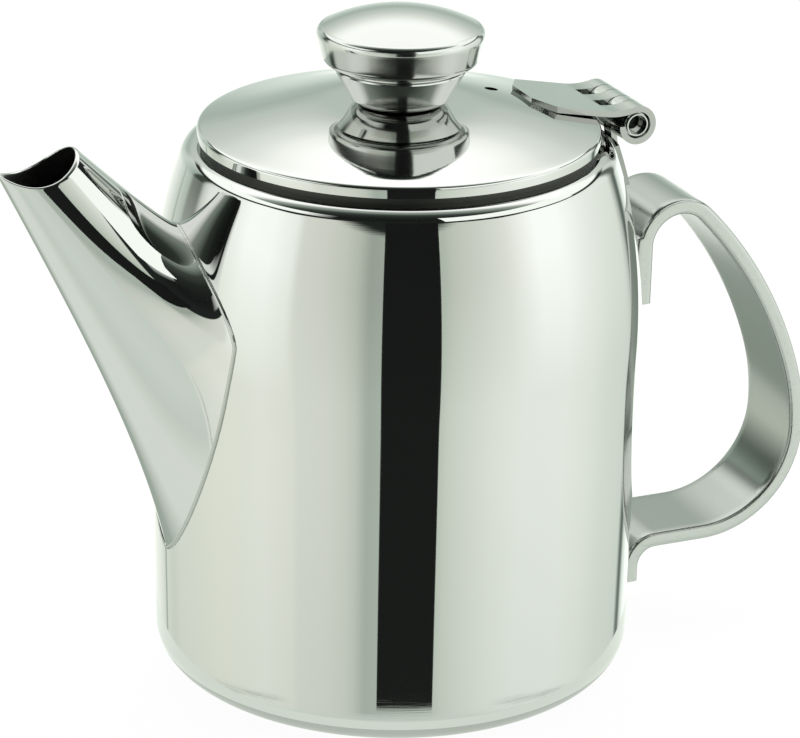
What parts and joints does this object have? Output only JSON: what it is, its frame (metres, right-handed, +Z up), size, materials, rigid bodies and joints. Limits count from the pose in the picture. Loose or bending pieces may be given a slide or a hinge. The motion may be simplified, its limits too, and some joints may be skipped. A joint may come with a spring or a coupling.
{
  "type": "teapot",
  "caption": "Polished steel teapot with a flared welded spout, a bent strap handle and a domed lid with a round knob on a rolled hinge.",
  "frame": {"origin": "middle of the base, on the plane it stands on", "axes": "+Z up through the knob, -X out along the spout, +X to the handle, Y along the hinge pin"},
  "size_m": [0.1883, 0.108, 0.1486],
  "materials": {
    "pot_steel": "mirror polished stainless sheet",
    "spout_steel": "mirror polished stainless sheet",
    "lid_steel": "mirror polished stainless sheet",
    "knob_steel": "mirror polished stainless sheet",
    "hinge_steel": "polished stainless strip",
    "strap_steel": "satin tumbled stainless strap",
    "fastener_steel": "plain turned steel"
  },
  "bodies": {
    "pot": {"body": "pot_steel", "spout": "spout_steel", "handle": "strap_steel", "hinge_body_leaf": "hinge_steel", "hinge_pin": "hinge_steel"},
    "lid": {"hinge_lid_leaf": "hinge_steel", "lid": "lid_steel", "lid_ring": "lid_steel", "knob_cap": "knob_steel", "knob_cup": "knob_steel", "knob_nut": "fastener_steel", "knob_screw": "fastener_steel", "knob_washer": "fastener_steel"}
  },
  "joints": [
    {"name": "lid_hinge", "type": "hinge", "parent": "pot", "child": "lid", "pos_m": [0.05179, 0, 0.1204], "axis": [0, 1, 0], "range_deg": [0, 110]}
  ]
}
